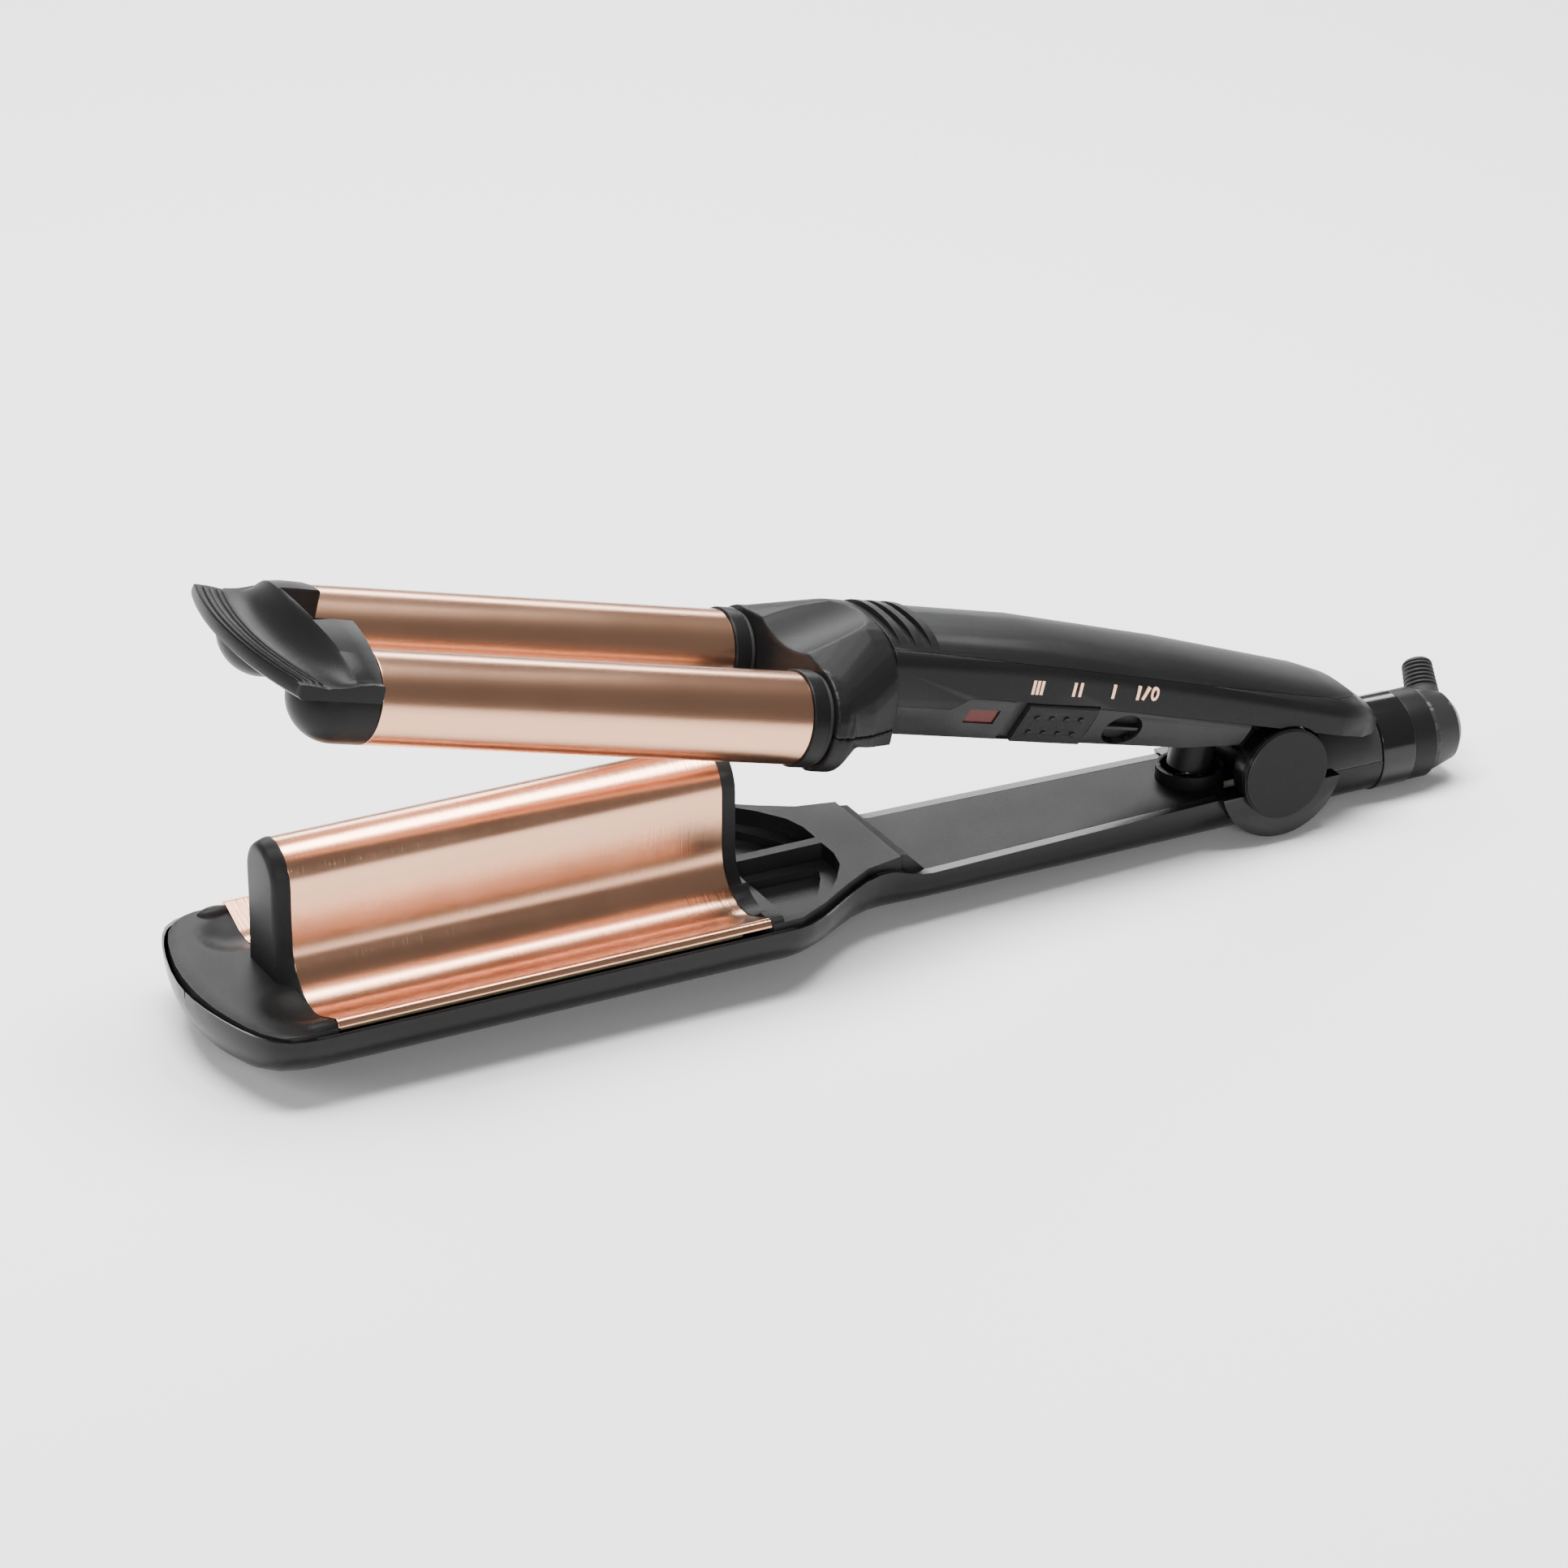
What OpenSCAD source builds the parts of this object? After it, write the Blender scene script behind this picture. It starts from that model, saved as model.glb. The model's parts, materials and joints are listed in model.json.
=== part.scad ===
// Two-barrel deep waver: a lower arm with a ridged wave plate and an upper arm with
// two heated barrels, joined by a sprung hinge, with a swivelling cable outlet.
// X runs from the nose to the tail, -Y is the side with the controls, Z is up.
// The origin is under the middle of the wave plate, on the surface the tool rests on.
// Upper-arm parts are drawn with the arms closed and then turned open at the hinge.

/* [Plates] */
// Length of the wave plate
plate_len = 111; // [109:0.5:113]
// Half the width of the wave plate over its lips
plate_half_w = 34; // [33.6:0.1:34.4]
// Height of the crest of the ridge
ridge_top = 51.2; // [50.4:0.2:52]
// Half the width of the ridge under its crest
ridge_half_w = 9; // [8.9:0.05:9.1]
// Thickness of the wave plate's metal
plate_t = 1.2; // [1:0.1:1.5]
// Outside diameter of a barrel
barrel_d = 22; // [21.8:0.1:22.1]
// Distance between the axes of the barrels
barrel_pitch = 40.8; // [40.6:0.1:41]
// Visible length of a barrel
barrel_len = 112.6; // [111:0.2:114]
// Wall of a barrel
barrel_wall = 1.2; // [1:0.1:1.5]

/* [Hinge] */
// Distance of the hinge behind the middle of the wave plate
hinge_x = 207; // [206:0.5:208]
// Height of the hinge
hinge_z = 18.7; // [18.5:0.1:18.9]
// Angle between the arms at rest
open_angle = 14.67; // [14:0.1:15]
// Radius of the round cap over each end of the hinge
hinge_cap_r = 11.9; // [11.6:0.1:12]
// Radius of the eye of the lower arm
eye_r = 17.6; // [17:0.1:17.8]
// Radius of the hinge pin
pin_r = 2.5; // [2.3:0.1:2.8]

/* [Lower arm] */
// Half the width of the head
head_half_w = 36.8; // [36.6:0.1:37.2]
// Height of the seam round the head
seam_z = 17.5; // [17.3:0.1:17.7]
// Half the width of the handle next to the head
lower_front_w = 18.8; // [18.4:0.1:19.2]
// Half the width of the handle next to the hinge
lower_rear_w = 15; // [14.6:0.1:15.4]
// Height of the top of the lower handle
lower_top = 13.7; // [13.5:0.1:13.9]
// Wall of the plastic shells
wall = 2; // [1.8:0.1:2.2]

/* [Upper arm] */
// Half the width of the upper handle behind the yoke
upper_front_w = 19; // [18.8:0.1:19.2]
// Half the width of the upper handle over the hinge
upper_rear_w = 17.6; // [17.4:0.1:17.8]
// Travel of the heat slider
slider_travel = 3.4; // [3:0.1:3.6]

/* [Tail] */
// Radius of the tail ring
ring_r = 11.9; // [11.7:0.1:12]
// Height of the axis of the tail
tail_z = 12; // [11.9:0.1:12.2]
// Radius of the hole for the cable
cable_r = 3; // [2.8:0.1:3.2]

/* [Hidden] */
$fn = 48;
barrel_r = barrel_d / 2;
barrel_y = barrel_pitch / 2;
barrel_z = hinge_z + 8.9;
valley_gap = 0.6;
valley_r = barrel_r + valley_gap;
valley_z = barrel_z + 0.1;
plate_x0 = -plate_len / 2;
plate_x1 = plate_len / 2;
barrel_x0 = hinge_x - 258.8;
barrel_x1 = barrel_x0 + barrel_len;
deck_z = 19.4;
step_x = hinge_x - 105;
collar_w = 4.3;
gasket_w = 1.3;
yoke_x0 = barrel_x1 + collar_w + gasket_w;
yoke_x1 = hinge_x - 120;
handle_end_x = hinge_x + 29;
eye_in = 13;
eye_out = 17.2;
stub_r = 11.5;
ring_x0 = hinge_x + 33.3;
ring_x1 = ring_x0 + 9.7;
tail_x1 = ring_x1 + 6.6;
cap_len = 11;
bush_clear = 0.05;
face_tilt = 27;
tip_x = hinge_x - 285.2;
edge_r = 106;
rest_half_w = 32.2;
post_x = hinge_x - 16;
cup_x = hinge_x - 16.6;

// ---- helpers ----

// Extrudes a Y-Z outline along X
module along_x(x0, x1) {
  translate([x0, 0, 0]) rotate([90, 0, 90]) linear_extrude(x1 - x0) children();
}

// Extrudes an X-Z outline along Y
module across_y(y0, y1) {
  translate([0, y1, 0]) rotate([90, 0, 0]) linear_extrude(y1 - y0) children();
}

// Turns upper-arm parts from the closed to the open pose
module opened() {
  translate([hinge_x, 0, hinge_z]) rotate([0, open_angle, 0])
    translate([-hinge_x, 0, -hinge_z]) children();
}

// Turns something back, so that it can be cut out of an upper-arm part
module unopened() {
  translate([hinge_x, 0, hinge_z]) rotate([0, -open_angle, 0])
    translate([-hinge_x, 0, -hinge_z]) children();
}

// Cylinder along X or along Y
module rod_x(x0, x1, r, y = 0, z = 0) {
  translate([x0, y, z]) rotate([0, 90, 0]) cylinder(r = r, h = x1 - x0);
}

module rod_y(x, z, y0, y1, r) {
  translate([x, y0, z]) rotate([-90, 0, 0]) cylinder(r = r, h = y1 - y0);
}

// Round-cornered power curve: w across, h high, p is 2 for an ellipse
function power(v, p) = sign(v) * pow(abs(v), 2 / p);
function bowl(w, h, p, n = 24) =
  [for (i = [0:n]) let (a = 180 + 180 * i / n) [w * power(cos(a), p), h * power(sin(a), p)]];
function arch(w, h, p, n = 20) =
  [for (i = [0:n]) let (a = 180 * i / n) [w * power(cos(a), p), h * power(sin(a), p)]];

// Puts children on the slanted control face: X along the handle, Y up the face, Z out of it
module on_face(x, s) {
  translate([hinge_x + x, -16 - s * sin(face_tilt), hinge_z + 9.3 + s * cos(face_tilt)])
    rotate([90 + face_tilt, 0, 0]) children();
}

module for_barrels() {
  for (side = [-1, 1]) translate([0, side * barrel_y, 0]) children();
}

// ---- wave profile ----

// Half of the wave from the crest of the ridge to a lip, moved inward by t
function crest(t) =
  [for (a = [90:-10:0])
    [(ridge_half_w - t) * cos(a), ridge_top - ridge_half_w + (ridge_half_w - t) * sin(a)]];
function flank(t) =
  [for (i = [1:9]) let (u = i / 10, y1 = barrel_y - valley_r)
    [ridge_half_w - t - (ridge_half_w - y1) * (1 - cos(180 * u)) / 2,
     ridge_top - ridge_half_w - u * (ridge_top - ridge_half_w - valley_z)]];
function valley(t) =
  [for (a = [180:10:290])
    [barrel_y + (valley_r + t) * cos(a), valley_z + (valley_r + t) * sin(a)]];
function lip(t) = t > 0
  ? [[plate_half_w - 1, 20.2 - 1.15 * t]]
  : [[plate_half_w - 1, 20.2], [plate_half_w - 0.3, 20.3], [plate_half_w + 0.5, 19.9],
     [plate_half_w + 1, 19], [plate_half_w + 1, 18.4], [plate_half_w, 18.4]];
function wave(t) = concat(crest(t), flank(t), valley(t), lip(t));
function reversed(points) = [for (i = [len(points) - 1:-1:0]) points[i]];
function negated(points) = [for (p = points) [-p[0], p[1]]];
function mirrored(points) = reversed(negated(points));

// Closed outline of everything under the wave, down to a given height
module under_wave(t, floor_z) {
  edge = wave(t);
  last = edge[len(edge) - 1];
  polygon(concat(mirrored(edge), edge, [[last[0], floor_z], [-last[0], floor_z]]));
}

module wave_plate() {
  color("#d08a64") along_x(plate_x0, plate_x1)
    polygon(concat(mirrored(wave(0)), wave(0), reversed(wave(plate_t)), negated(wave(plate_t))));
}

// ---- lower arm ----

// One station of the head or of the lower handle, open upwards at the seam
module bowl_slice(x, w, top, bottom) {
  translate([x, 0, top]) rotate([90, 0, 90]) linear_extrude(0.02)
    polygon(bowl(w, top - bottom, 1.8));
}

module head_form(t) {
  top = seam_z + (t > 0 ? 0.5 : 0);
  intersection() {
    hull() {
      bowl_slice(plate_x0 - 23.8 + t, 10 - t, top, 13 + t);
      bowl_slice(plate_x0 - 20 + t, 27 - t, top, 7 + t);
      bowl_slice(plate_x0 - 15.5 + t, 33.5 - t, top, 3 + t);
      bowl_slice(plate_x0 - 8 + t, head_half_w - t, top, -0.4 + t);
      bowl_slice(plate_x1 + 8 - t, head_half_w - t, top, -0.4 + t);
      bowl_slice(plate_x1 + 20 - t, 29.5 - t, top, 0.3 + t);
      bowl_slice(plate_x1 + 32 - t, 21 - t, top, 1.6 + t);
      bowl_slice(plate_x1 + 44 - t, lower_front_w - t, top, 2 + t);
    }
    translate([-400, -100, t]) cube([800, 200, 60]);
  }
}

module handle_form(t) {
  top = lower_top + (t > 0 ? 0.5 : 0);
  intersection() {
    hull() {
      bowl_slice(plate_x1 + 30, lower_front_w - t, top, 1.6 + t);
      bowl_slice(hinge_x - 6 - t, lower_rear_w - t, top, t);
    }
    translate([-400, -100, t]) cube([800, 200, 60]);
  }
}

// Cheeks of the hinge eye: full round under the arm, the size of the caps above it
module eye_cheeks() {
  for (side = [-1, 1]) scale([1, side, 1]) {
    rod_y(hinge_x, hinge_z, eye_in, eye_out, hinge_cap_r - 0.2);
    intersection() {
      rod_y(hinge_x, hinge_z, eye_in, eye_out, eye_r);
      across_y(eye_in, eye_out) polygon([[hinge_x - 20, lower_top], [hinge_x - 9, lower_top],
        [hinge_x + 8, hinge_z - 4.5], [hinge_x + 20, hinge_z - 4.5],
        [hinge_x + 20, 0], [hinge_x - 20, 0]]);
    }
  }
}

module lower_shell() {
  color("#141416") difference() {
    union() {
      difference() {
        union() {
          head_form(0);
          handle_form(0);
        }
        head_form(wall);
        handle_form(wall);
        rod_y(hinge_x, hinge_z, -eye_in, eye_in, 13);
      }
      eye_cheeks();
      // curved floor between the cheeks
      intersection() {
        difference() {
          rod_y(hinge_x, hinge_z, -eye_in, eye_in, eye_r);
          rod_y(hinge_x, hinge_z, -20, 20, eye_r - wall);
        }
        translate([hinge_x - 7.8, -20, 0]) cube([37.8, 40, 9]);
      }
      difference() {
        rod_x(hinge_x + 13, ring_x0, stub_r, 0, tail_z);
        rod_x(hinge_x + 12, ring_x0 + 1, stub_r - wall, 0, tail_z);
        translate([hinge_x, -20, tail_z]) cube([60, 40, 20]);
      }
      difference() {
        translate([hinge_x + 11.5, -eye_out, 3]) cube([3.5, 2 * eye_out, hinge_z - 4.5 - 3]);
        rod_x(hinge_x + 10, hinge_x + 20, stub_r - wall, 0, tail_z);
      }
      for (x = [plate_x0 - 9, plate_x1 + 40])
        translate([x, 0, 1]) cylinder(r = 3.4, h = 10);
    }
    rod_y(hinge_x, hinge_z, -30, 30, pin_r);
    // passages for the leads
    for (side = [-1, 1]) rod_x(hinge_x - 12, hinge_x - 3, 1.5, side * 5, 6.4);
    for (x = [plate_x0 - 9, plate_x1 + 40]) {
      translate([x, 0, -1]) cylinder(r = 1.3, h = 20);
      translate([x, 0, -1]) cylinder(r = 2.6, h = 4.2);
    }
  }
}

module nose_plan(inset) {
  n = 12;
  w = 35.2 - inset;
  polygon(concat(
    [for (i = [-n:n]) let (y = w * i / n)
      [plate_x0 - 18.6 + inset + 6.6 * pow(i / n, 2), y]],
    [[plate_x0 - 6, 35.6 - inset], [plate_x0 + 0.4, 35.6 - inset],
     [plate_x0 + 0.4, -35.6 + inset], [plate_x0 - 6, -35.6 + inset]]));
}

module nose_cover() {
  color("#232326") {
    difference() {
      union() {
        translate([0, 0, seam_z + 0.02]) linear_extrude(18.8 - seam_z) nose_plan(0);
        translate([0, 0, 14.8]) linear_extrude(3) nose_plan(2.8);
        // round-topped cap that closes the front of the ridge
        hull() {
          along_x(plate_x0 - 4, plate_x0 - 3.9) intersection() {
            under_wave(1.6, 16);
            translate([-7.4, 0]) square([14.8, 80]);
          }
          along_x(plate_x0 - 1.6, plate_x0 - 0.1) intersection() {
            under_wave(-0.1, 16);
            translate([-9.1, 0]) square([18.2, 80]);
          }
        }
        // low bumps in front of the lips
        for (side = [-1, 1]) hull() {
          translate([plate_x0 - 2.5, side * 31, 18]) scale([1, 1, 0.7]) sphere(2.8, $fn = 24);
          translate([plate_x0 - 7, side * 28.5, 17.8]) scale([1, 1, 0.7]) sphere(2.2, $fn = 24);
        }
      }
      // the plate's front edge is let into the cover
      along_x(plate_x0 - 0.05, plate_x0 + 2) under_wave(-0.05, 0);
      translate([plate_x0 + 0.1, -50, 0]) cube([4, 100, 60]);
      translate([plate_x0 - 9, 0, 0]) cylinder(r = 1.3, h = 17);
      // seats for the domed ends of the barrels
      for (side = [-1, 1])
        rod_x(plate_x0 - 30, plate_x0 + 1, valley_r - 0.02, side * barrel_y, valley_z);
    }
  }
}

module pocket(inset, z0, z1) {
  for (side = [-1, 1]) scale([1, side, 1]) translate([0, 0, z0]) linear_extrude(z1 - z0)
    translate([plate_x1, 0]) polygon([[4.6 + inset, 1.6 + inset], [30.5 - inset, 1.6 + inset],
      [30.5 - inset, 8], [29 - inset, 14 - 0.6 * inset], [24.5 - 0.7 * inset, 21 - inset],
      [18.5 - 0.4 * inset, 27.6 - inset], [12.6, 31.6 - inset], [11, 32.6 - inset],
      [4.6 + inset, 32.6 - inset]]);
}

module rear_plan(inset) {
  polygon([for (side = [1, -1])
    for (p = side > 0
      ? [[0, 35.6], [8, 35.4], [16, 31.2], [26, 24.4], [34, 19.6], [44, 17.4]]
      : [[44, 17.4], [34, 19.6], [26, 24.4], [16, 31.2], [8, 35.4], [0, 35.6]])
      [plate_x1 + p[0] + (p[0] == 0 ? 0.3 : 0), side * (p[1] - inset)]]);
}

module rear_deck() {
  color("#232326") difference() {
    union() {
      translate([0, 0, 14.6]) linear_extrude(deck_z - 14.6) rear_plan(0.3);
      // wall that closes the rear of the wave plate
      along_x(plate_x1 + 0.05, plate_x1 + 3.4) intersection() {
        under_wave(-0.1, 14.6);
        translate([-35.3, 0]) square([70.6, 80]);
      }
      // tubs under the two pockets
      pocket(2.6, 11.8, 15);
    }
    pocket(0, 15.2, 40);
    pocket(4, 13, 40);
    // seats for the rear ends of the barrels
    for (side = [-1, 1])
      rod_x(plate_x1 - 1, plate_x1 + 5.4, valley_r - 0.15, side * barrel_y, valley_z);
    translate([plate_x1 + 40, 0, 0]) cylinder(r = 1.3, h = 17);
  }
}

module heat_spreader() {
  color("#b8babd") difference() {
    along_x(plate_x0 + 5, plate_x1 - 5) intersection() {
      under_wave(plate_t + 0.05, 17);
      translate([-7.2, 0]) square([14.4, 80]);
    }
    translate([plate_x0, -2, 20]) cube([plate_len, 4, 20]);
  }
}

module plate_heater() {
  color("#e8e2d4") translate([plate_x0 + 8, -1.9, 20.4]) cube([plate_len - 16, 3.8, 19]);
}

module heat_shield() {
  color("#c9b78a") translate([plate_x0 + 3, -26, 12.6]) cube([plate_len - 6, 52, 0.8]);
}

module handle_plan(inset) {
  polygon([[step_x, -lower_front_w + 0.9 + inset], [hinge_x - 13.4, -lower_rear_w + 0.5 + inset],
    [hinge_x - 13.4, lower_rear_w - 0.5 - inset], [step_x, lower_front_w - 0.9 - inset]]);
}

module handle_cover() {
  color("#1c1c1f") difference() {
    union() {
      translate([0, 0, 11.4]) linear_extrude(lower_top - 11.4) handle_plan(2.2);
      across_y(-lower_front_w + 3.2, lower_front_w - 3.2) polygon([[step_x - 2.4, 13.6],
        [step_x - 2.4, deck_z - 0.4], [step_x, deck_z - 0.8], [step_x + 5, 13.6]]);
    }
    translate([cup_x, 0, 0]) cylinder(r = 8.7, h = 30);
  }
}

// Countersunk pan screw, head down, standing on z = 0
module screw(length) {
  cylinder(r = 2.4, h = 1.6);
  cylinder(r = 1.25, h = length);
}

module shell_screws() {
  color("#9a9ca0") for (x = [plate_x0 - 9, plate_x1 + 40])
    translate([x, 0, 1.4]) screw(14);
}

module plate_leads() {
  color("#d8d4cc") for (side = [-1, 1])
    rod_x(plate_x1 - 8, hinge_x + 6, 0.9, side * 5, 6.4);
}

module hinge_pin() {
  color("#a8abaf") rod_y(hinge_x, hinge_z, -eye_out, eye_out, pin_r - 0.01);
}

module hinge_cap(side) {
  color("#0f0f10") scale([1, side, 1]) {
    rod_y(hinge_x, hinge_z, eye_out, eye_out + 1.6, hinge_cap_r);
    rod_y(hinge_x, hinge_z, eye_out + 1.6, eye_out + 2, hinge_cap_r - 0.4);
  }
}

module hinge_cap_near() hinge_cap(-1);
module hinge_cap_far() hinge_cap(1);

module spring_cup() {
  color("#1c1c1f") translate([cup_x, 0, 7.6]) difference() {
    cylinder(r = 8.6, h = 9.6);
    translate([0, 0, 1.4]) cylinder(r = 7.4, h = 20);
  }
}

module main_spring() {
  turns = 3;
  height = 4.8;
  span = 160;
  color("#b4b7bb") translate([cup_x - 0.2, 0, 9.4])
    linear_extrude(height, twist = -360 * turns, slices = 30) polygon(concat(
      [for (i = [0:5]) 4.6 * [cos(span * i / 5), sin(span * i / 5)]],
      [for (i = [5:-1:0]) 3.7 * [cos(span * i / 5), sin(span * i / 5)]]));
}

module tail_cover() {
  color("#2b2b2e") difference() {
    rod_x(hinge_x + 16.4, ring_x0 - 0.05, stub_r, 0, tail_z);
    rod_x(hinge_x + 12, ring_x0 + 1, stub_r - wall, 0, tail_z);
    translate([hinge_x, -20, tail_z - 30]) cube([60, 40, 30.1]);
  }
}

module tail_ring() {
  color("#0d0d0e") difference() {
    rod_x(ring_x0 + 0.05, ring_x1, ring_r, 0, tail_z);
    rod_x(ring_x0 - 1, ring_x1 + 1, 9.6, 0, tail_z);
  }
}

module tail_sleeve() {
  color("#1a1a1c") difference() {
    union() {
      rod_x(ring_x1 + 0.05, tail_x1, 11.6, 0, tail_z);
      rod_x(hinge_x + 20, ring_x1 + 1, 9.4, 0, tail_z);
    }
    rod_x(hinge_x + 19, tail_x1 + 1, 7.5, 0, tail_z);
    // groove that holds the swivel in
    rod_x(ring_x0 + 1.4, ring_x0 + 3.6, 8.6, 0, tail_z);
    // recess round the swivel cap
    rod_x(tail_x1 - 1.2, tail_x1 + 1, 11, 0, tail_z);
  }
}

// ---- swivel ----

swivel_cx = tail_x1 + 4.4;
exit_roll = 51;
exit_elbow = 75;

// Puts children on the axis along which the cable leaves the swivel cap
module cable_way() {
  translate([swivel_cx, 0, tail_z]) rotate([-exit_roll, 0, 0]) rotate([0, 90 - exit_elbow, 0])
    children();
}

module swivel_cap() {
  color("#38383b") difference() {
    union() {
      rod_x(hinge_x + 24, tail_x1 - 0.8, 7.5 - bush_clear, 0, tail_z);
      rod_x(ring_x0 + 1.8, ring_x0 + 3.2, 8.2, 0, tail_z);
      translate([tail_x1 - 0.85, 0, tail_z]) rotate([0, 90, 0]) {
        cylinder(r = 10.7, h = 2.2);
        translate([0, 0, 2.15]) cylinder(r1 = 10.7, r2 = 8.9, h = 6.9);
        translate([0, 0, 9.04]) cylinder(r1 = 8.9, r2 = 6.6, h = 2);
      }
    }
    rod_x(hinge_x, swivel_cx, 5.6, 0, tail_z);
    cable_way() cylinder(r = 4.5, h = 20);
  }
}

module strain_relief() {
  ribs = 7;
  color("#303033") cable_way() difference() {
    union() {
      translate([0, 0, 4]) cylinder(r = 4.45, h = 6);
      translate([0, 0, 9.9]) cylinder(r1 = 4.1, r2 = 3.6, h = 8.7);
      translate([0, 0, 18.5]) cylinder(r = 3.6, h = 0.5);
      for (i = [0:ribs - 1]) translate([0, 0, 10.3 + i * 1.15])
        cylinder(r = 4.4 - i * 0.07, h = 0.7);
    }
    translate([0, 0, -1]) cylinder(r = cable_r, h = 30);
  }
}

// ---- barrels ----

module barrel(side) {
  color("#d08a64") opened() difference() {
    rod_x(barrel_x0, barrel_x1, barrel_r, side * barrel_y, barrel_z);
    rod_x(barrel_x0 - 1, barrel_x1 + 1, barrel_r - barrel_wall, side * barrel_y, barrel_z);
  }
}

module barrel_near() barrel(-1);
module barrel_far() barrel(1);

module barrel_core(side) {
  color("#b8babd") opened() difference() {
    rod_x(barrel_x0 + 6, barrel_x1 - 6, barrel_r - barrel_wall - 0.05, side * barrel_y, barrel_z);
    translate([barrel_x0 - 1, side * barrel_y - 6.1, barrel_z - 1.6])
      cube([barrel_len + 2, 12.2, 3.2]);
  }
}

module barrel_core_near() barrel_core(-1);
module barrel_core_far() barrel_core(1);

module barrel_heater(side) {
  color("#e8e2d4") opened()
    translate([barrel_x0 + 8, side * barrel_y - 6, barrel_z - 1.5])
      cube([barrel_len - 16, 12, 3]);
}

module barrel_heater_near() barrel_heater(-1);
module barrel_heater_far() barrel_heater(1);

// Curved front edge of the finger rest, k further in, between two heights
module rest_edge(k, z0, z1) {
  translate([tip_x + edge_r, 0, barrel_z + z0]) cylinder(r = edge_r - k, h = z1 - z0, $fn = 160);
}

// Scooped finger rest over the domed ends of both barrels
module front_cap() {
  color("#1a1a1c") opened() difference() {
    union() {
      for_barrels() {
        rod_x(barrel_x0 - 7, barrel_x0 - 0.05, barrel_r, 0, barrel_z);
        translate([barrel_x0 - 7, 0, barrel_z]) sphere(barrel_r);
        rod_x(barrel_x0 - 1, barrel_x0 + 5, barrel_r - barrel_wall - 0.05, 0, barrel_z);
      }
      // flange that carries the finger rest, with fine ribs along its front
      intersection() {
        rest_edge(0, 2.4, 6.6);
        translate([tip_x - 1, -rest_half_w, 0]) cube([-tip_x + barrel_x0 + 0.95, 2 * rest_half_w, 60]);
      }
      for (k = [1:4]) intersection() {
        difference() {
          rest_edge(1.6 * k, 6, 7.2);
          rest_edge(1.6 * k + 0.7, 5, 8);
        }
        translate([tip_x - 1, -rest_half_w + 3, 0]) cube([14, 2 * rest_half_w - 6, 60]);
      }
      // back of the scoop
      hull() {
        along_x(barrel_x0 - 1.2, barrel_x0 - 0.05) translate([0, barrel_z])
          polygon(arch(31.4, 16.3, 2.6));
        along_x(barrel_x0 - 10, barrel_x0 - 9) translate([0, barrel_z])
          polygon(arch(31, 16, 2.5));
      }
    }
    // scoop
    translate([barrel_x0 - 19.7, 0, barrel_z + 18.6]) rotate([90, 0, 0])
      cylinder(r = 13, h = 56, center = true, $fn = 96);
    // notch that clears the ridge's front cap when the arms close
    translate([plate_x0 - 6.5, -9.4, 0]) cube([22, 18.8, 80]);
    for_barrels() {
      rod_x(barrel_x0 - 20, barrel_x0 + 6, 1.2, 0, barrel_z - 1.5);
      rod_x(barrel_x0 - 22, barrel_x0 - 14, 2.5, 0, barrel_z - 1.5);
    }
  }
}

module cap_screws() {
  color("#9a9ca0") opened() for_barrels()
    translate([barrel_x0 - 14, 0, barrel_z - 1.5]) rotate([0, 90, 0]) {
      translate([0, 0, -1.2]) cylinder(r = 2.3, h = 1.2);
      cylinder(r = 1.2, h = 18.6);
    }
}

module collar(side) {
  color("#0f0f10") opened() difference() {
    rod_x(barrel_x1 + 0.05, barrel_x1 + collar_w, barrel_r + 0.6, side * barrel_y, barrel_z);
    rod_x(barrel_x1 - 1, barrel_x1 + collar_w + 1, 8, side * barrel_y, barrel_z);
  }
}

module collar_near() collar(-1);
module collar_far() collar(1);

module gasket(side) {
  color("#2e2e30") opened() difference() {
    rod_x(barrel_x1 + collar_w + 0.05, yoke_x0 - 0.05, barrel_r + 0.1, side * barrel_y, barrel_z);
    rod_x(barrel_x1, yoke_x0 + 1, 8, side * barrel_y, barrel_z);
  }
}

module gasket_near() gasket(-1);
module gasket_far() gasket(1);

// ---- yoke ----

// Full form of the yoke, less t all round
module yoke_form(t) {
  union() {
    // sockets behind the barrels
    for_barrels() hull() {
      rod_x(yoke_x0 + t, yoke_x0 + 5, 12.4 - t, 0, barrel_z);
      rod_x(yoke_x0 + 10, yoke_x0 + 11.5 - t, 7.5 - t, 0, barrel_z + 2);
    }
    // shoulders that run together into the handle
    hull() {
      along_x(yoke_x0 + t, yoke_x0 + 3) translate([0, barrel_z])
        polygon(arch(33 - t, 13.4 - t, 3));
      along_x(yoke_x0 + 8, yoke_x0 + 12) translate([0, barrel_z - 3 + t])
        polygon(arch(30 - t, 20.4 - 2 * t, 2.6));
      along_x(yoke_x1 - 5, yoke_x1 - t) translate([0, barrel_z - 4 + t])
        polygon(arch(25 - t, 24.4 - 2 * t, 2.6));
    }
  }
}

// Scooped facet between the barrels, on top of the yoke
module yoke_scoop(t) {
  translate([yoke_x0, 0, barrel_z + 51.6]) rotate([0, 64, 0]) translate([0, 0, -24])
    cylinder(r = 36.5 + t, h = 48, $fn = 120);
}

module yoke_half(top) {
  opened() intersection() {
    difference() {
      yoke_form(0);
      difference() {
        yoke_form(wall);
        yoke_scoop(wall);
      }
      yoke_scoop(0);
      for_barrels() rod_x(yoke_x0 - 1, yoke_x0 + 3, 8, 0, barrel_z);
    }
    translate([yoke_x0 - 5, -60, barrel_z + (top ? 0.02 : -60)]) cube([60, 120, 60]);
  }
}

module yoke_top() {
  color("#1d1d20") yoke_half(true);
}

module yoke_bottom() {
  color("#151517") yoke_half(false);
}

// ---- upper handle ----

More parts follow.
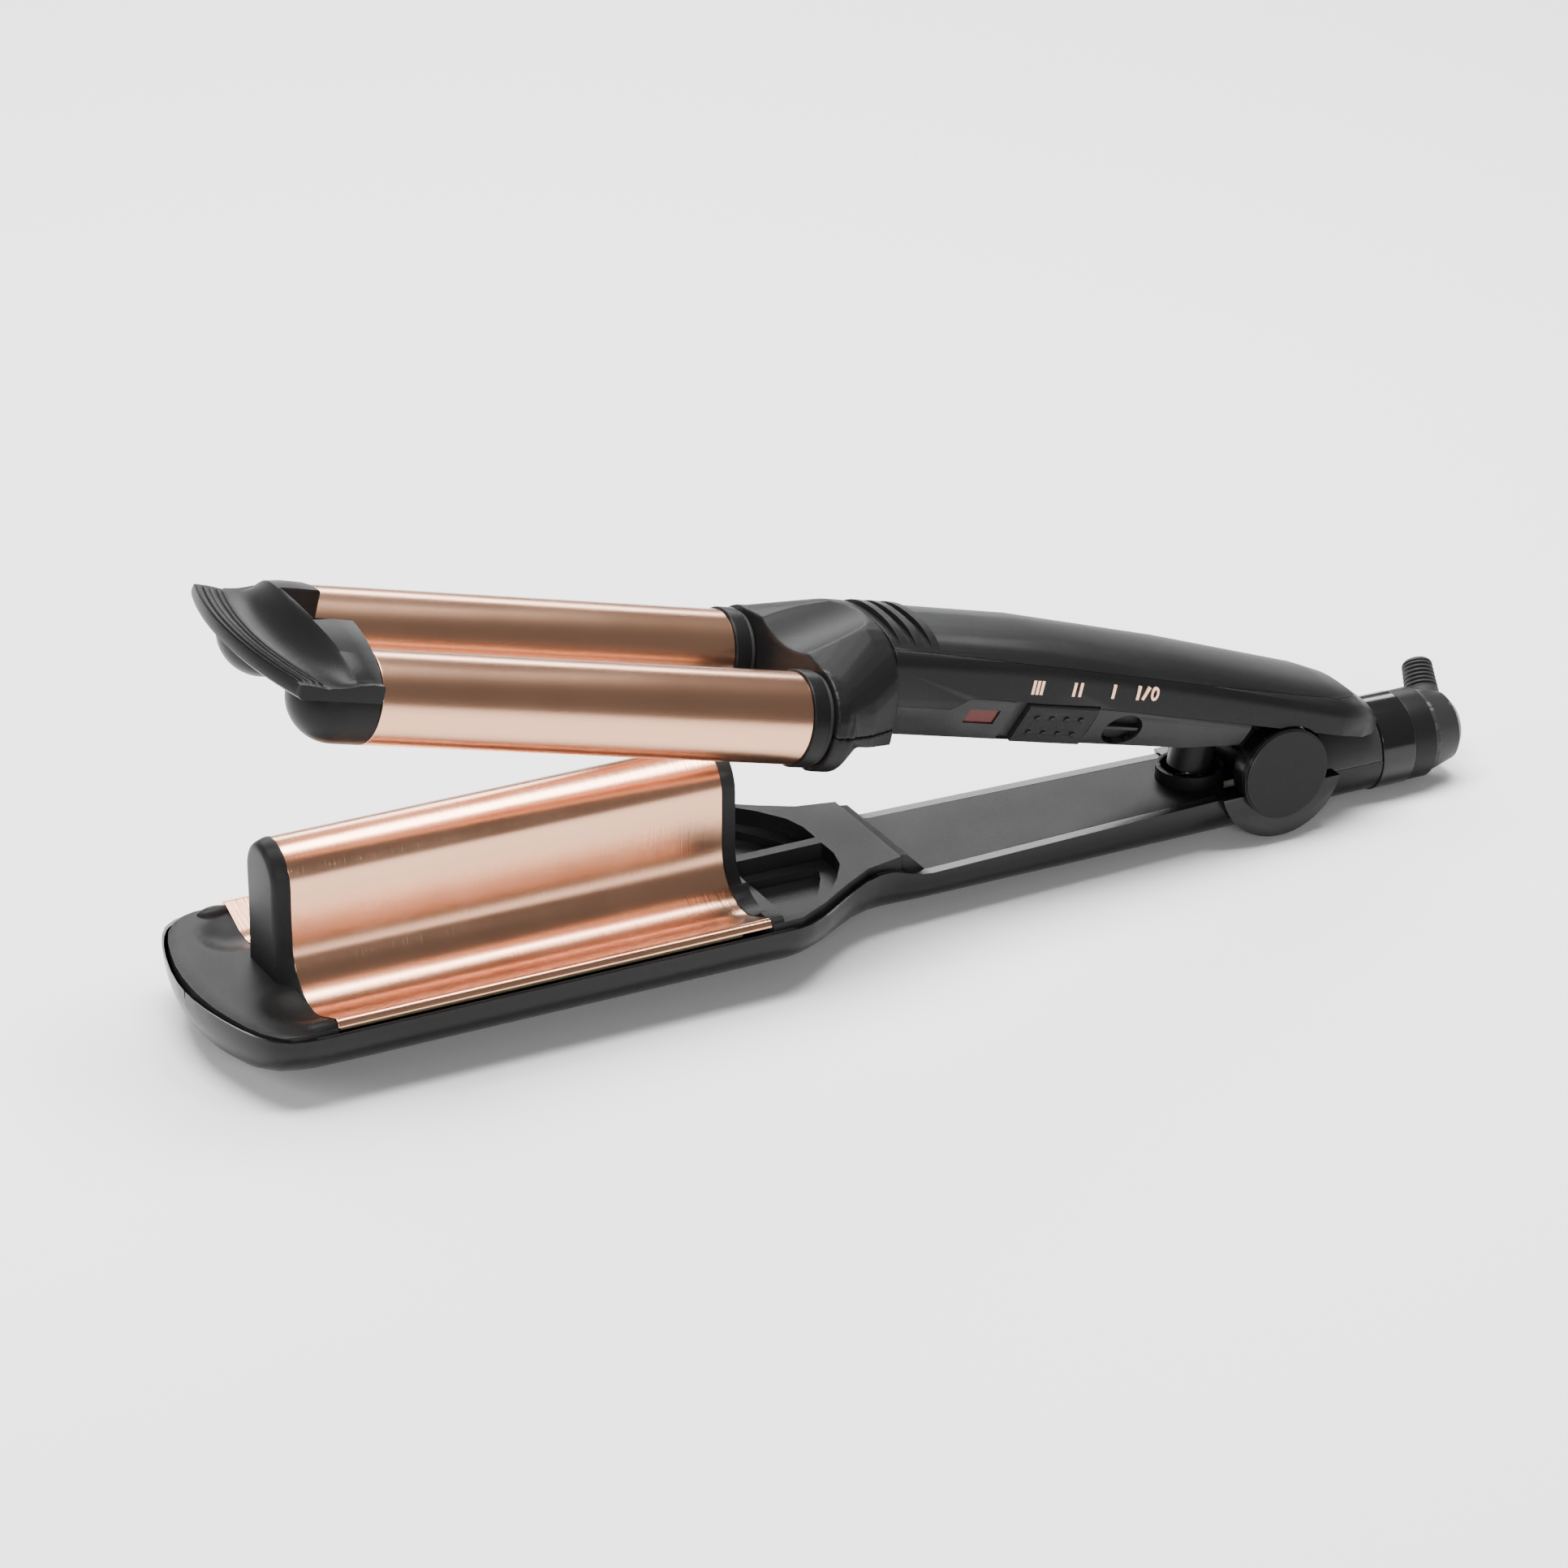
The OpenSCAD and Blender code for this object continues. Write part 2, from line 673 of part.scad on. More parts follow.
// One station of the upper handle: rounded top, upright sides, slanted lower faces
module handle_slice(x, w, side_z, top, low_z, bottom) {
  translate([hinge_x + x, 0, hinge_z]) rotate([90, 0, 90]) linear_extrude(0.2)
    polygon(concat([[w - (low_z - bottom) * tan(face_tilt), bottom], [w, low_z]],
      [for (p = arch(w, top - side_z, 2.3, 14)) [p[0], side_z + p[1]]],
      [[-w, low_z], [-w + (low_z - bottom) * tan(face_tilt), bottom]]));
}

module handle_body(t) {
  hull() {
    handle_slice(-119.6 + t * 0.5, upper_front_w - t, 22 - t, 28.6 - t, 14.8 - t * 0.5, 3.4 + t);
    handle_slice(-73, upper_front_w - t, 21 - t, 28.2 - t, 14.8 - t * 0.5, 3.4 + t);
    handle_slice(-29, upper_front_w - 0.4 - t, 18.5 - t, 24.7 - t, 13.6 - t * 0.5, 3.6 + t);
    handle_slice(14, upper_rear_w - t, 14.5 - t, 19.9 - t, 9.6, 9.2 - t);
    handle_slice(22 - t, upper_rear_w - 1.6 - t, 13.4 - t, 18.4 - t, 9.5, 9.2 - t);
    handle_slice(29 - t, 11 - t, 10.5 - t * 0.5, 15 - t, 9.4, 9.2 - t);
  }
}

// Region between two seams of the upper handle, in side view
function seam_top(x) = hinge_z + 25.9 - 8.6 * pow(max(0, x + 122) / 151, 1.35);
function seam_low(x) = hinge_z + (x < -101 ? 12.2 : x < -97 ? 12.2 + 3.4 * (x + 101) / 4
  : 15.6 - 6.3 * pow((x + 97) / 126, 1.5));
xs = [for (x = [-124:3:-103]) x];
xl = [for (x = [-101:2:-97]) x];
xr = [for (x = [-93:6:33]) x];
stations = concat(xs, xl, xr);

module above_top_seam(d) {
  across_y(-40, 40) polygon(concat([for (x = stations) [hinge_x + x, seam_top(x) + d]],
    [[hinge_x + 60, 90], [hinge_x - 130, 90]]));
}

module below_low_seam(d) {
  across_y(-40, 40) polygon(concat([for (x = stations) [hinge_x + x, seam_low(x) + d]],
    [[hinge_x + 60, 0], [hinge_x - 130, 0]]));
}

// Room that the lower arm needs at the hinge and the tail, over the whole travel
module hinge_room() {
  rod_y(hinge_x, hinge_z, -40, 40, hinge_cap_r + 0.6);
  unopened() rod_x(hinge_x + 10, ring_x0 + 40, ring_r + 0.5, 0, tail_z);
}

module top_shell() {
  color("#1d1d20") opened() {
    difference() {
      intersection() {
        difference() {
          handle_body(0);
          handle_body(wall);
        }
        above_top_seam(0.1);
      }
      hinge_room();
    }
    // three grip ribs over the top
    for (k = [0:2]) intersection() {
      difference() {
        along_x(hinge_x - 117.4 + 4.4 * k, hinge_x - 115.2 + 4.4 * k) translate([0, hinge_z + 20])
          polygon(arch(18.4, 9.9, 2.3));
        along_x(hinge_x - 119, hinge_x - 100) translate([0, hinge_z + 20])
          polygon(arch(17.4, 8, 2.3));
      }
      translate([hinge_x - 130, -15.4, hinge_z + 24.2]) cube([40, 30.8, 20]);
    }
  }
}

module side_shell() {
  color("#1a1a1d") opened() difference() {
    handle_body(0);
    handle_body(wall);
    above_top_seam(0);
    below_low_seam(0);
    hinge_room();
    translate([hinge_x - 21, -50, hinge_z - 20]) cube([10, 100, 26]);
    on_face(-70, 0) translate([-10.4 - slider_travel, -6.6, -0.95])
      cube([20.8 + slider_travel, 13.2, 3]);
  }
}

module bottom_shell() {
  color("#131315") opened() difference() {
    union() {
      intersection() {
        difference() {
          handle_body(0);
          handle_body(wall);
        }
        below_low_seam(-0.1);
        translate([hinge_x - 125, -50, 0]) cube([125 - 13.6, 100, 60]);
      }
      on_face(-50, -0.6) translate([0, 0, -4]) cylinder(r = 6.2, h = 3);
    }
    // lamp opening, slider recess and slot, dial hole
    on_face(-91.4, 1.4) translate([-4.3, -2.4, -8]) cube([8.6, 4.8, 20]);
    on_face(-70, 0) {
      translate([-10.4 - slider_travel, -6.6, -0.95]) cube([20.8 + slider_travel, 20, 3]);
      translate([-3 - slider_travel, -1.6, -8]) cube([6 + slider_travel, 3.2, 20]);
    }
    on_face(-50, -0.6) {
      translate([0, 0, -2.6]) cylinder(r = 5.3, h = 20);
      translate([0, 0, -8]) cylinder(r = 1.6, h = 20);
    }
    translate([post_x, 0, 0]) cylinder(r = 5.6, h = hinge_z + 9);
    for (x = [-108, -30]) translate([hinge_x + x, 0, 0]) cylinder(r = 1.3, h = 40);
  }
}

module arm_knuckle() {
  color("#1a1a1c") opened() difference() {
    union() {
      rod_y(hinge_x, hinge_z, -12.4, 12.4, 7.6);
      across_y(-12.4, 12.4) polygon([[hinge_x - 13, hinge_z + 6.2], [hinge_x - 13, hinge_z + 13],
        [hinge_x + 5, hinge_z + 13], [hinge_x + 7.4, hinge_z + 1], [hinge_x - 7.4, hinge_z + 1]]);
    }
    rod_y(hinge_x, hinge_z, -20, 20, pin_r + bush_clear - 0.01);
    translate([post_x, 0, 0]) cylinder(r = 5.65, h = 60);
    unopened() rod_x(hinge_x + 12, ring_x0, stub_r + 0.6, 0, tail_z);
  }
}

module spring_post() {
  color("#101011") opened() translate([post_x, 0, 0]) {
    translate([0, 0, hinge_z - 6.4]) cylinder(r = 5.6, h = 10);
    translate([0, 0, hinge_z + 3.5]) cylinder(r = 5.55, h = 5.4);
  }
}

module handle_screws() {
  color("#9a9ca0") opened() for (x = [-108, -30]) translate([hinge_x + x, 0, hinge_z + 1.2])
    screw(12);
}

module light_window() {
  color("#5a1414") opened() on_face(-91.4, 1.4)
    translate([-4.2, -2.3, -2]) cube([8.4, 4.6, 2.1]);
}

module signal_lamp() {
  color("#c23b2a") opened() on_face(-91.4, 1.4) {
    translate([0, 0, -6]) cylinder(r = 1.5, h = 2.4);
    translate([0, 0, -3.6]) sphere(r = 1.5);
    translate([0, 0, -6.5]) cylinder(r = 1.9, h = 0.6);
  }
}

module circuit_board() {
  color("#2f6b3c") opened() translate([hinge_x - 100, -8, hinge_z + 15]) cube([64, 17, 1.6]);
}

module slide_switch() {
  color("#3a3a3c") opened() on_face(-70, 0)
    translate([-9, -3.5, -9.6]) cube([18, 7, 4.4]);
}

module thermal_fuse() {
  color("#c8c2b4") opened() rod_x(hinge_x - 86, hinge_x - 74, 1.8, 6, hinge_z + 18.5);
}

module barrel_leads() {
  color("#c8482e") opened() for_barrels()
    for (dy = [-3, 3]) rod_x(barrel_x1 - 7.9, yoke_x0 + 4.5, 0.7, dy, barrel_z);
}

// Slanted strokes and a ring that mark the heat steps, on the upright side
module stroke(x, lean = 0) {
  translate([hinge_x + x, 0, hinge_z + 19.3]) rotate([0, lean, 0])
    translate([-0.4, 0, -1.8]) cube([0.8, 0.5, 3.6]);
}

module heat_marks() {
  color("#e0a07a") opened() translate([0, -upper_front_w - 0.1, 0]) {
    for (x = [-80.1, -78.9, -77.7]) stroke(x);
    for (x = [-68.4, -66.6]) stroke(x);
    stroke(-57);
    stroke(-49.8);
    stroke(-47.6, 22);
    translate([hinge_x - 45, 0.5, hinge_z + 19.3]) rotate([90, 0, 0]) linear_extrude(0.5)
      difference() {
        scale([0.62, 1]) circle(1.8);
        scale([0.45, 1]) circle(1.1);
      }
  }
}

// ---- controls ----

module heat_slider() {
  color("#222225") opened() on_face(-70, 0) {
    translate([-10, -6.2, -0.55]) cube([20, 12.4, 1.5]);
    translate([-2.6, -1.3, -4.8]) cube([5.2, 2.6, 4.8]);
    for (ix = [0:3]) for (iy = [0:1])
      translate([-6.3 + 4.2 * ix, -2.6 + 5.2 * iy, 0.9]) cylinder(r = 0.75, h = 0.45, $fn = 20);
  }
}

module lock_dial() {
  color("#1d1d20") opened() on_face(-50, -0.6) {
    translate([0, 0, -2.3]) cylinder(r = 5, h = 0.9);
    translate([-4.9, -0.5, -1.5]) cube([9.8, 1, 1.6]);
    translate([0, 0, -6]) cylinder(r = 1.5, h = 4);
  }
}

lower_shell();
nose_cover();
rear_deck();
wave_plate();
heat_spreader();
plate_heater();
heat_shield();
handle_cover();
shell_screws();
plate_leads();
hinge_pin();
hinge_cap_near();
hinge_cap_far();
spring_cup();
main_spring();
tail_cover();
tail_ring();
tail_sleeve();
barrel_near();
barrel_far();
barrel_core_near();
barrel_core_far();
barrel_heater_near();
barrel_heater_far();
front_cap();
cap_screws();
collar_near();
collar_far();
gasket_near();
gasket_far();
yoke_top();
yoke_bottom();
top_shell();
side_shell();
bottom_shell();
handle_screws();
arm_knuckle();
spring_post();
light_window();
signal_lamp();
circuit_board();
slide_switch();
thermal_fuse();
barrel_leads();
heat_marks();
heat_slider();
lock_dial();
swivel_cap();
strain_relief();
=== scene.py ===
"""Two-barrel deep waver: materials, detailed pieces, studio light and camera.

Sizes are in mm, in the part's own frame, unless a line says otherwise.
"""
import bpy, bmesh, json, math
from mathutils import Matrix, Vector

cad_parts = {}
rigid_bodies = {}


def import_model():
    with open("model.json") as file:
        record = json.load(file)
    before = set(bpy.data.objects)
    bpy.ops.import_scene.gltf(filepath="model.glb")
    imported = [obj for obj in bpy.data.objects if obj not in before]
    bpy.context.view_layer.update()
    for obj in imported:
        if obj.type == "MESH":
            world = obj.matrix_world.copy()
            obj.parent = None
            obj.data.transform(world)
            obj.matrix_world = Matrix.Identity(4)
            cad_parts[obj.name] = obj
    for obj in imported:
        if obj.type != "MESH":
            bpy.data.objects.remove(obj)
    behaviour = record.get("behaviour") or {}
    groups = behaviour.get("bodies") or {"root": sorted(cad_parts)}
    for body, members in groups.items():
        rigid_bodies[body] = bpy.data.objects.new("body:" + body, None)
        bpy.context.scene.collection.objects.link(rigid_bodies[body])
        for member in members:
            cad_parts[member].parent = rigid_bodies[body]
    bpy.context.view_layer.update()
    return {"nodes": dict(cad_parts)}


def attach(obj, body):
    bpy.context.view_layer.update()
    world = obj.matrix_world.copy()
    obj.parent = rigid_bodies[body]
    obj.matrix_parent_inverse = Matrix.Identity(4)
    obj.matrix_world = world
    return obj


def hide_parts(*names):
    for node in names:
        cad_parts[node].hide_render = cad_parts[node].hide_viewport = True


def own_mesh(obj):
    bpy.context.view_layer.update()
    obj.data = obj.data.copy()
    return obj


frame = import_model()
MM = 0.001
# angle between the arms at rest, and the hinge's axis
OPEN = math.radians(14.67)
HINGE = Vector((207, 0, 18.7))
# height of the barrels' axes with the arms closed, and their distance from the middle
AXIS_Z = 27.6
BARREL_Y = 20.4


def opened(p):
    """A point of the closed upper arm, in mm, moved to its place in the open rest pose."""
    d = Vector(p) - HINGE
    c, s = math.cos(OPEN), math.sin(OPEN)
    return HINGE + Vector((d.x * c + d.z * s, d.y, -d.x * s + d.z * c))


# ---- materials ----

def material(name, low, high, rough, metal=0.0, grain=900, depth=0.15, stretch=(1, 1, 1),
             patch=35, swing=0.06, coat=0.0, specular=0.12, anisotropy=0.0, edge_highlight=None):
    """Two close colours in soft patches, roughness that wanders, a fine grain in the bump, and,
    when given, a painted highlight on convex edges.
    """
    m = bpy.data.materials.new(name)
    m.use_nodes = True
    nodes, links = m.node_tree.nodes, m.node_tree.links
    shader = nodes["Principled BSDF"]
    shader.inputs["Metallic"].default_value = metal
    shader.inputs["Specular IOR Level"].default_value = specular
    shader.inputs["Coat Weight"].default_value = coat
    shader.inputs["Coat Roughness"].default_value = 0.12
    shader.inputs["Anisotropic"].default_value = anisotropy
    coords = nodes.new("ShaderNodeTexCoord")

    def noise(scale, detail, squeeze=(1, 1, 1)):
        place = nodes.new("ShaderNodeMapping")
        place.inputs["Scale"].default_value = squeeze
        links.new(coords.outputs["Object"], place.inputs["Vector"])
        tex = nodes.new("ShaderNodeTexNoise")
        tex.inputs["Scale"].default_value = scale
        tex.inputs["Detail"].default_value = detail
        links.new(place.outputs["Vector"], tex.inputs["Vector"])
        return tex.outputs["Fac"]

    clouds = noise(patch, 3)
    fine = noise(grain, 4, stretch)
    tint = nodes.new("ShaderNodeMix")
    tint.data_type = "RGBA"
    tint.inputs["A"].default_value = (*low, 1)
    tint.inputs["B"].default_value = (*high, 1)
    links.new(clouds, tint.inputs["Factor"])
    colour = tint.outputs["Result"]
    if edge_highlight:
        # painted highlight: convex edges made lighter in soft patches, in place of the light that
        # the rims catch
        geometry = nodes.new("ShaderNodeNewGeometry")
        edge = nodes.new("ShaderNodeMapRange")
        edge.inputs["From Min"].default_value = 0.53
        edge.inputs["From Max"].default_value = 0.62
        links.new(geometry.outputs["Pointiness"], edge.inputs["Value"])
        highlight_weight = nodes.new("ShaderNodeMath")
        highlight_weight.operation = "MULTIPLY"
        links.new(edge.outputs["Result"], highlight_weight.inputs[0])
        links.new(clouds, highlight_weight.inputs[1])
        painted_highlight = nodes.new("ShaderNodeMix")
        painted_highlight.data_type = "RGBA"
        painted_highlight.inputs["B"].default_value = (*edge_highlight, 1)
        links.new(highlight_weight.outputs["Value"], painted_highlight.inputs["Factor"])
        links.new(colour, painted_highlight.inputs["A"])
        colour = painted_highlight.outputs["Result"]
    links.new(colour, shader.inputs["Base Color"])
    wander = nodes.new("ShaderNodeMapRange")
    wander.inputs["To Min"].default_value = rough - swing
    wander.inputs["To Max"].default_value = rough + swing
    links.new(clouds, wander.inputs["Value"])
    links.new(wander.outputs["Result"], shader.inputs["Roughness"])
    bump = nodes.new("ShaderNodeBump")
    bump.inputs["Strength"].default_value = depth
    bump.inputs["Distance"].default_value = 0.0002
    links.new(fine, bump.inputs["Height"])
    links.new(bump.outputs["Normal"], shader.inputs["Normal"])
    return m


def grey(v):
    """A grey with a trace of blue."""
    return (v, v, v * 1.03)


# colour of the painted highlight on the convex edges of the black plastics
EDGE_HIGHLIGHT_COLOUR = grey(0.045)
SATIN = material("satin_black", grey(0.006), grey(0.009), 0.40, grain=2600, depth=0.22, edge_highlight=EDGE_HIGHLIGHT_COLOUR)
DECK = material("deck_black", grey(0.009), grey(0.013), 0.44, grain=2600, depth=0.28, edge_highlight=EDGE_HIGHLIGHT_COLOUR)
SHELL = material("shell_black", grey(0.004), grey(0.006), 0.26, grain=2200, depth=0.08,
                 swing=0.04, coat=0.12, edge_highlight=EDGE_HIGHLIGHT_COLOUR)
GLOSS = material("gloss_black", grey(0.006), grey(0.009), 0.16, grain=2000, depth=0.04,
                 swing=0.03, coat=0.3)
CAP = material("cap_black", grey(0.005), grey(0.008), 0.36, grain=2600, depth=0.15, edge_highlight=EDGE_HIGHLIGHT_COLOUR)
# the grey plastic's convex edges get a brighter painted highlight
GREY = material("grey_plastic", grey(0.018), grey(0.026), 0.42, grain=2600, depth=0.25,
                edge_highlight=grey(0.16))
SOFT = material("soft_plastic", grey(0.030), grey(0.042), 0.58, grain=1800, depth=0.35)
RUBBER = material("gasket_rubber", grey(0.020), grey(0.030), 0.62, grain=1600, depth=0.4)
CONTROL = material("control_plastic", grey(0.008), grey(0.012), 0.46, grain=2800, depth=0.3,
                   edge_highlight=EDGE_HIGHLIGHT_COLOUR)
BARREL = material("rose_barrel", (0.68, 0.37, 0.235), (0.74, 0.42, 0.275), 0.24, metal=1.0,
                  grain=1500, depth=0.05, stretch=(0.15, 1, 1), swing=0.03, anisotropy=0.2)
PLATE = material("rose_plate", (0.66, 0.36, 0.23), (0.74, 0.42, 0.275), 0.23, metal=1.0,
                 grain=420, depth=0.30, stretch=(5, 0.25, 0.25), patch=60, swing=0.04,
                 anisotropy=0.2)
PRINT = material("rose_print", (0.80, 0.47, 0.33), (0.88, 0.54, 0.39), 0.35, metal=0.6,
                 grain=2000, depth=0.1)
LENS = material("red_lens", (0.055, 0.006, 0.005), (0.085, 0.010, 0.008), 0.22, grain=1200,
                depth=0.1, coat=0.2)
STEEL = material("screw_steel", (0.45, 0.45, 0.46), (0.55, 0.55, 0.56), 0.32, metal=1.0,
                 grain=1600, depth=0.15)
ALLOY = material("alloy", (0.62, 0.62, 0.63), (0.70, 0.70, 0.71), 0.42, metal=1.0, depth=0.3)
CERAMIC = material("ceramic", (0.70, 0.66, 0.58), (0.78, 0.74, 0.66), 0.6, depth=0.4)
MICA = material("mica", (0.42, 0.34, 0.20), (0.54, 0.45, 0.28), 0.35, depth=0.5, patch=120)
BOARD = material("board", (0.02, 0.11, 0.045), (0.03, 0.15, 0.06), 0.4, depth=0.3)
SLEEVE = material("lead_sleeve", (0.62, 0.58, 0.50), (0.70, 0.66, 0.58), 0.5, depth=0.5)
RED = material("red_sleeve", (0.45, 0.06, 0.03), (0.55, 0.09, 0.04), 0.5, depth=0.5)
LAMP = material("lamp", (0.55, 0.06, 0.04), (0.70, 0.10, 0.06), 0.2, depth=0.1)

finish = {
    "lower_shell": SHELL, "nose_cover": DECK, "rear_deck": DECK, "wave_plate": PLATE,
    "heat_spreader": ALLOY, "plate_heater": CERAMIC, "heat_shield": MICA,
    "handle_cover": DECK, "shell_screws": STEEL, "plate_leads": SLEEVE, "hinge_pin": STEEL,
    "hinge_cap_near": CAP, "hinge_cap_far": CAP, "spring_cup": SATIN, "main_spring": STEEL,
    "tail_cover": GREY, "tail_ring": GLOSS, "tail_sleeve": SATIN, "barrel_near": BARREL,
    "barrel_far": BARREL, "barrel_core_near": ALLOY, "barrel_core_far": ALLOY,
    "barrel_heater_near": CERAMIC, "barrel_heater_far": CERAMIC, "front_cap": SATIN,
    "cap_screws": STEEL, "collar_near": CAP, "collar_far": CAP, "gasket_near": RUBBER,
    "gasket_far": RUBBER, "yoke_top": SATIN, "yoke_bottom": SHELL, "top_shell": SATIN,
    "side_shell": SATIN, "bottom_shell": SATIN, "handle_screws": STEEL, "arm_knuckle": SATIN,
    "spring_post": CAP, "light_window": LENS, "signal_lamp": LAMP, "circuit_board": BOARD,
    "slide_switch": CONTROL, "thermal_fuse": SLEEVE, "barrel_leads": RED, "heat_marks": PRINT,
    "heat_slider": CONTROL, "lock_dial": CONTROL, "swivel_cap": GREY, "strain_relief": SOFT,
}
# nodes whose edges are rounded less than the usual 0.35 mm
sharp = {"wave_plate": 0.12, "heat_marks": 0.04, "lock_dial": 0.12, "barrel_near": 0.2,
         "barrel_far": 0.2}
for name, obj in frame["nodes"].items():
    for part in [obj] + list(obj.children_recursive):
        if part.type == "MESH":
            for place in part.material_slots:
                place.material = finish[name]
            if not part.material_slots:
                part.data.materials.append(finish[name])
            part.data.shade_smooth()
            weld = part.modifiers.new("weld", "WELD")
            weld.merge_threshold = 0.005 * MM
            edge = part.modifiers.new("edges", "BEVEL")
            edge.width = sharp.get(name, 0.35) * MM
            edge.segments = 2
            edge.limit_method = "ANGLE"
            edge.angle_limit = math.radians(38)
            edge.harden_normals = True
            even = part.modifiers.new("even_shading", "WEIGHTED_NORMAL")
            even.weight = 60
            even.keep_sharp = False

# ---- detailed pieces ----

def piece(name, verts, faces, body, nodes, finish_of, bevel=0.0, smooth=40):
    """A mesh given in mm, riding on a body and standing for CAD nodes."""
    mesh = bpy.data.meshes.new(name)
    mesh.from_pydata([Vector(v) * MM for v in verts], [], faces)
    bm = bmesh.new()
    bm.from_mesh(mesh)
    bmesh.ops.remove_doubles(bm, verts=bm.verts, dist=1e-6)
    bmesh.ops.recalc_face_normals(bm, faces=bm.faces)
    bm.to_mesh(mesh)
    bm.free()
    obj = bpy.data.objects.new(name, mesh)
    bpy.context.collection.objects.link(obj)
    mesh.materials.append(finish_of)
    mesh.shade_smooth()
    mesh.set_sharp_from_angle(angle=math.radians(smooth))
    if bevel:
        edge = obj.modifiers.new("edges", "BEVEL")
        edge.width = bevel * MM
        edge.segments = 3
        edge.limit_method = "ANGLE"
        edge.angle_limit = math.radians(40)
        edge.harden_normals = True
    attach(obj, body)
    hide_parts(*nodes)
    return obj


def loft(loops, verts, faces):
    """Skins a row of closed loops of equal length and closes both ends."""
    n, base = len(loops[0]), len(verts)
    for loop in loops:
        verts.extend(loop)
    for i in range(len(loops) - 1):
        for k in range(n):
            a, b = base + i * n + k, base + i * n + (k + 1) % n
            faces.append((a, b, b + n, a + n))
    faces.append(tuple(range(base + n - 1, base - 1, -1)))
    faces.append(tuple(range(base + (len(loops) - 1) * n, base + len(loops) * n)))


def between(table, x):
    """Value at x on the straight lines that join a table of (x, value)."""
    if x <= table[0][0]:
        return table[0][1]
    for (x0, v0), (x1, v1) in zip(table, table[1:]):
        if x <= x1:
            return v0 + (v1 - v0) * (x - x0) / (x1 - x0)
    return table[-1][1]


def steps(a, b, n):
    """n values from a to b, evenly spread."""
    return [a + (b - a) * i / (n - 1) for i in range(n)]


# finger rest and domed barrel ends

REST_W = 31.4
TIP_X, EDGE_R = -78.2, 106
REAR_X = -51.95
# notch that lets the ridge's front end pass as the arms close
NOTCH_X, NOTCH_HALF = -62.1, 9.55
# level of the front lip over the barrels' axis, and width of its ribbed strip
LIP, STRIP = 5.6, 7.7


def front_edge(y):
    """The curved front edge along X."""
    return TIP_X + EDGE_R - math.sqrt(EDGE_R ** 2 - y * y)


def crest(y):
    """Height of the scoop's crest over the barrels' axis."""
    return max(6.9, 14.6 * (1 - (min(abs(y), REST_W) / 32.6) ** 2.5) ** 0.48)


def summit(y):
    """Where the crest stands along X."""
    return -63.2 + 5.6 * (abs(y) / REST_W) ** 2


def scoop(x, y):
    """Height of the scooped top over the barrels' axis."""
    start = front_edge(y) + STRIP
    if x <= start:
        return LIP
    u = min(1.0, (x - start) / (summit(y) - start))
    return LIP + (crest(y) - LIP) * u ** 2.2


def rest_loop(y):
    """Side outline of the finger rest at y: underside, ribbed strip, scoop, crest and back."""
    front, top = front_edge(y), crest(y)
    rear = NOTCH_X if abs(y) < NOTCH_HALF else REAR_X
    peak = summit(y)
    pts = [(rear, 2.6), (front + 1.4, 2.6), (front + 0.3, 3.4), (front, 4.6)]
    for i in range(37):
        d = 0.3 + 7.2 * i / 36
        rib = max(0.0, math.sin(2 * math.pi * (d - 0.35) / 1.75)) ** 0.7 if d > 0.5 else 0
        fade = min(1.0, max(0.0, (REST_W - 0.8 - abs(y)) / 1.5))
        pts.append((front + d, 6.2 - 0.03 * d * d * 0.5 + 0.6 * rib * fade))
    start = front + STRIP
    for i in range(1, 19):
        x = start + (peak - start) * i / 18
        pts.append((x, scoop(x, y) - (0.25 if i == 18 else 0)))
    pts.append((peak + 0.45 * (rear - peak), top + 0.05))
    pts.append((rear - 0.35, top - 0.1))
    pts.append((rear, top - 0.6))
    pts.append((rear, (top - 0.6 + 2.6) / 2))
    return [opened((x, y, AXIS_Z + z)) for x, z in pts]


verts, faces = [], []
rows = sorted(set([round(v, 3) for v in steps(-REST_W, REST_W, 81)] + [-9.56, -9.54, 9.54, 9.56]))
loft([rest_loop(y) for y in rows], verts, faces)
for side in (-1, 1):
    profile = [(-46.85, 9.6), (-51.8, 9.6), (-51.86, 10.7), (-52.2, 11), (-58.8, 11)]
    profile += [(-58.8 - 11 * math.sin(a), 11 * math.cos(a)) for a in steps(0.08, 1.54, 18)]
    rings = []
    for x, r in profile:
        ring = []
        for k in range(64):
            y = side * BARREL_Y + r * math.sin(2 * math.pi * k / 64)
            z = r * math.cos(2 * math.pi * k / 64)
            if x < -53:
                z = min(z, scoop(x, max(-REST_W, min(REST_W, y))) - 0.6)
            ring.append(opened((x, y, AXIS_Z + z)))
        rings.append(ring)
    loft(rings, verts, faces)
piece("finger_rest", verts, faces, "upper_arm", ["front_cap"], SATIN,
      bevel=0.25, smooth=38)

# lower shell: one smooth bowl for the head and the handle, with the cheeks of the hinge

HALF_W = [(-79.2, 0.6), (-79.0, 6), (-78.2, 12), (-76.9, 18), (-75.2, 24), (-73.2, 29),
          (-70.8, 32.8), (-67.5, 35.2), (-63, 36.4), (-58, 36.8), (62, 36.8), (66, 36.0),
          (72, 33.0), (79, 28.0), (86, 23.2), (92, 20.6), (98, 19.2), (104, 18.5), (201, 15.1)]
BOTTOM = [(-79.2, 13.8), (-78.6, 11), (-76.9, 7.6), (-74.5, 4.8), (-70.8, 2.4), (-66, 0.9),
          (-60, 0.2), (-50, 0), (64, 0), (78, 0.8), (90, 1.4), (104, 1.5), (150, 0.6), (201, 0)]
TOP = [(-79.2, 17.5), (92, 17.5), (96, 17.1), (100, 15.6), (104, 14.1), (108, 13.7), (201, 13.7)]


